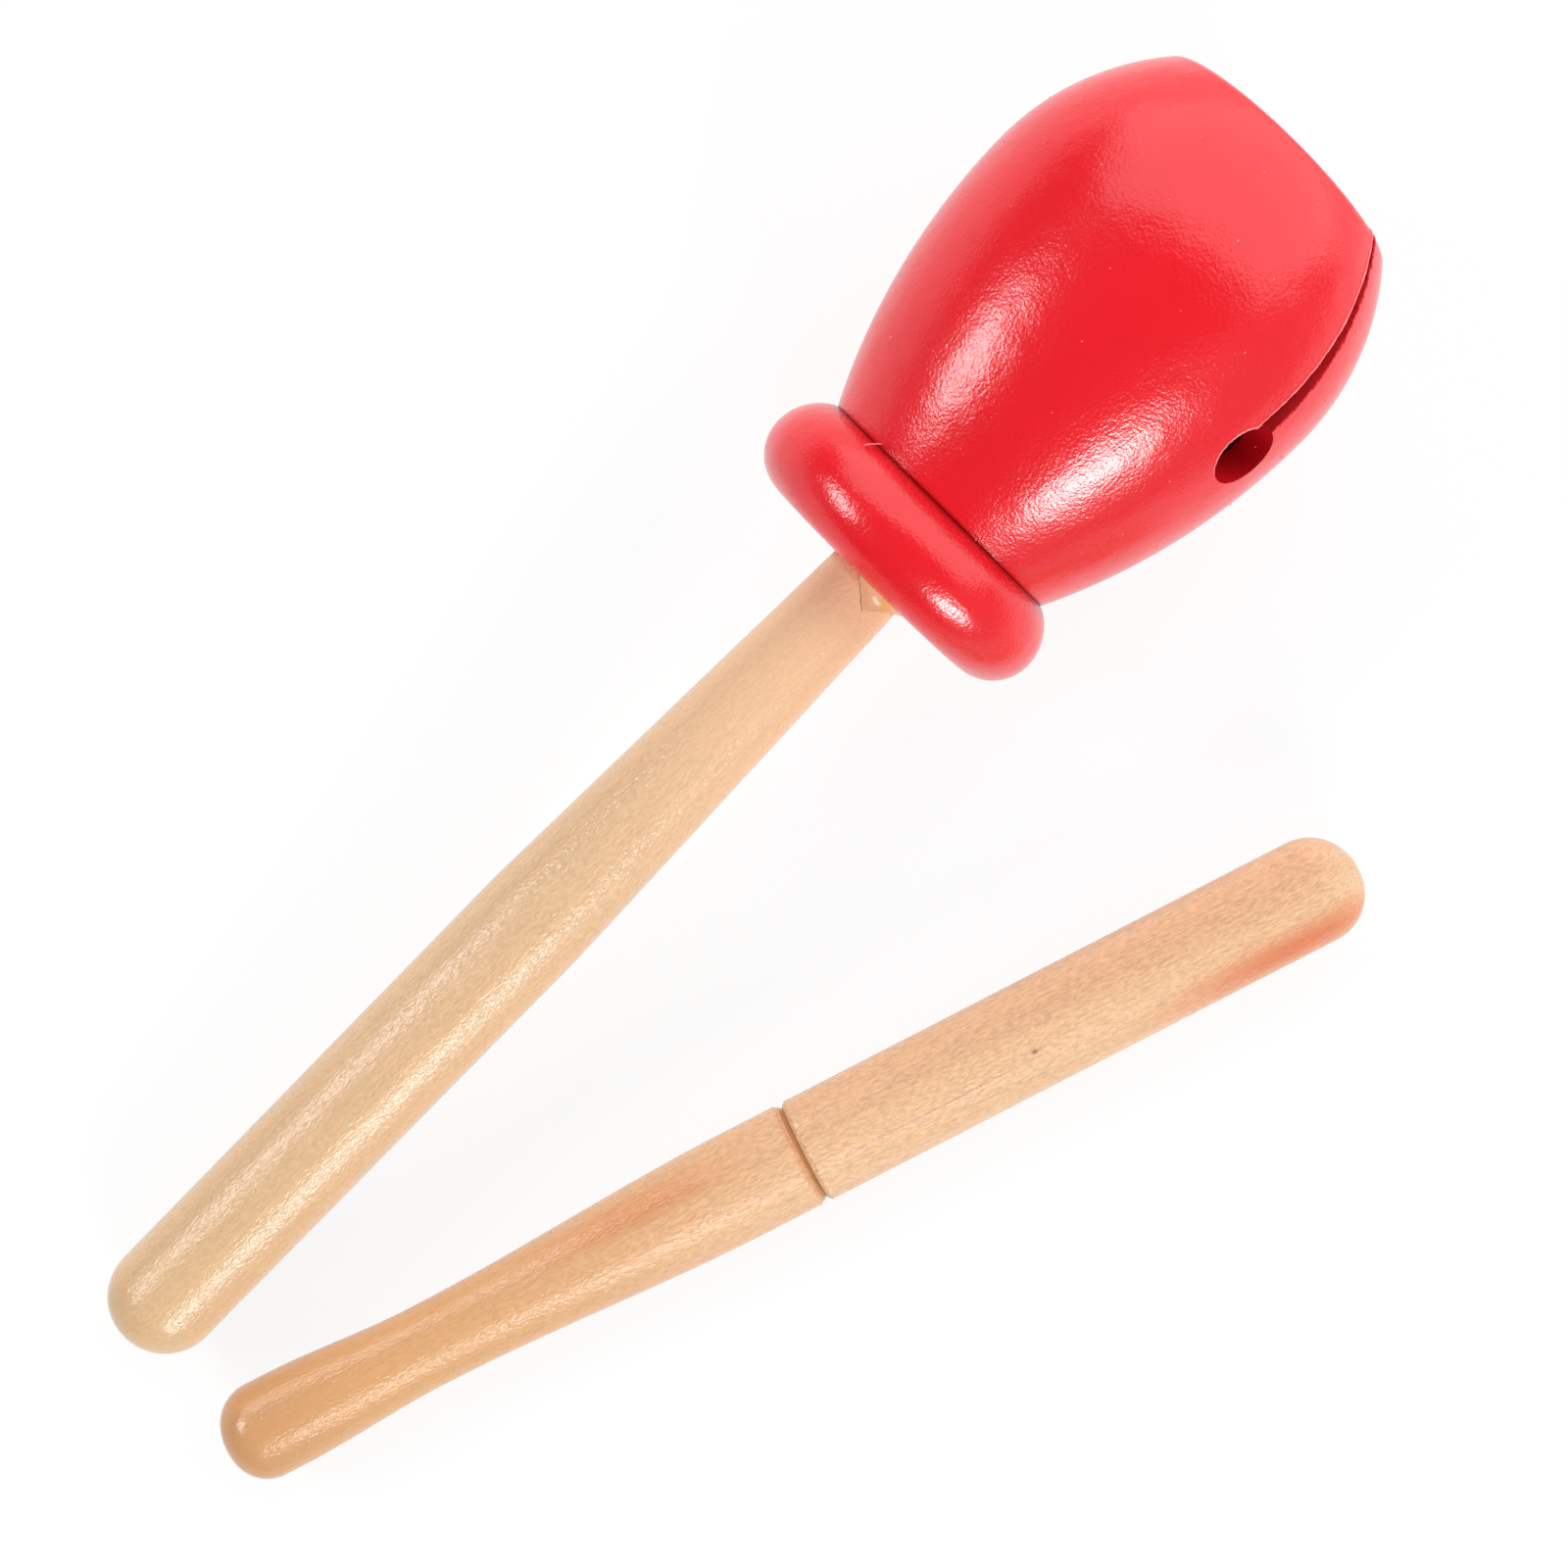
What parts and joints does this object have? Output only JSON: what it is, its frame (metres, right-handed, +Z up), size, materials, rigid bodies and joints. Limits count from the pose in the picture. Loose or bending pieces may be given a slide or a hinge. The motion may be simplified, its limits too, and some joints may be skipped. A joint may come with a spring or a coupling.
{
  "type": "tulip block",
  "caption": "Turned wooden tulip block: a hollow, slotted, bulb-shaped head with a beaded collar on a tapered handle, and a loose grooved beater to strike it with.",
  "frame": {"origin": "on the table, under the middle of the box round the block and its beater as they lie", "axes": "+X along the block from its handle towards its head, +Y from the beater's side to the block's side, +Z up from the table"},
  "size_m": [0.2266, 0.11, 0.0568],
  "materials": {
    "red_lacquer": "turned wood under sprayed gloss red lacquer",
    "pale_wood": "pale turned wood under a thin satin varnish",
    "warm_wood": "warm turned wood, sanded, with a thin satin varnish on the grip",
    "amber_glue": "dried amber wood glue"
  },
  "bodies": {
    "block": {"bowl": "red_lacquer", "collar": "red_lacquer", "handle": "pale_wood", "handle_glue": "amber_glue"},
    "beater": {"beater": "warm_wood"}
  },
  "joints": [
    {"name": "beater_lift", "type": "slide", "parent": "block", "child": "beater", "axis": [0, 0, 1], "range_m": [0, 0.12]}
  ]
}
